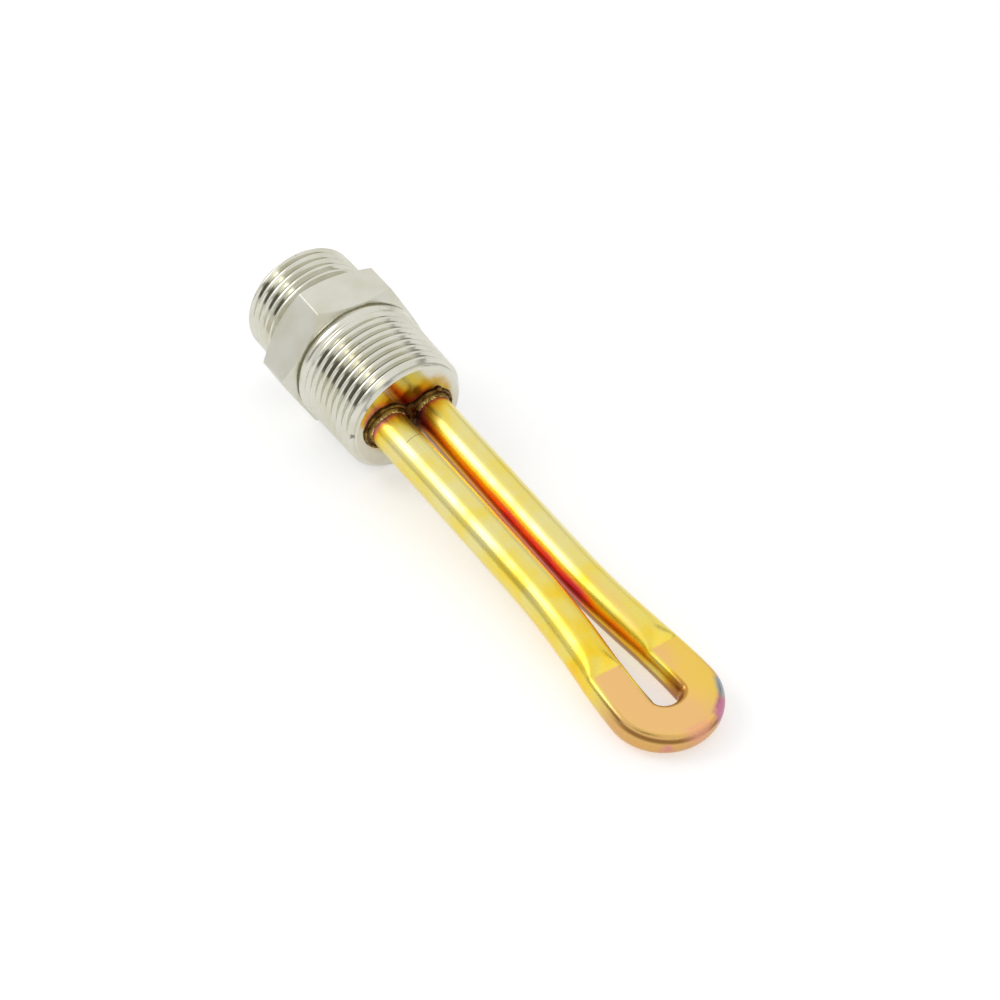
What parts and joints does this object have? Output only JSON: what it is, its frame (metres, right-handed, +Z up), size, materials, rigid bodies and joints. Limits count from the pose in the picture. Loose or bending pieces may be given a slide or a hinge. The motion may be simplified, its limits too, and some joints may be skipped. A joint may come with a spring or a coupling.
{
  "type": "engine block heater",
  "caption": "Screw-in engine block heater: a hexagon fitting with a taper pipe thread and a threaded cord socket, carrying a hairpin heating element with a pressed return bend.",
  "frame": {"origin": "middle of the underside of the bounding box, on the surface the heater lies on", "axes": "+X along the heater towards its return bend, +Z up from the surface, the hairpin's legs side by side along Y"},
  "size_m": [0.1298, 0.033, 0.0307],
  "materials": {
    "nickel_plate": "bright nickel plate over turned steel",
    "tinted_steel": "steel tube tinted straw yellow by heat",
    "braze": "dark brazing alloy",
    "resistance_wire": "drawn resistance wire",
    "magnesia": "pressed white powder",
    "pin_steel": "bright plated steel",
    "seal_bead": "silicone bead",
    "potting": "cast resin",
    "carrier": "moulded phenolic"
  },
  "bodies": {
    "root": {"fitting_body": "nickel_plate", "heater_sheath": "tinted_steel", "braze_fillet": "braze", "heating_coil": "resistance_wire", "magnesia_fill": "magnesia", "cold_pin_left": "pin_steel", "cold_pin_right": "pin_steel", "end_seal_left": "seal_bead", "end_seal_right": "seal_bead", "potting_compound": "potting", "contact_carrier": "carrier", "contact_pin_left": "pin_steel", "contact_pin_right": "pin_steel", "ground_pin": "pin_steel"}
  },
  "joints": []
}
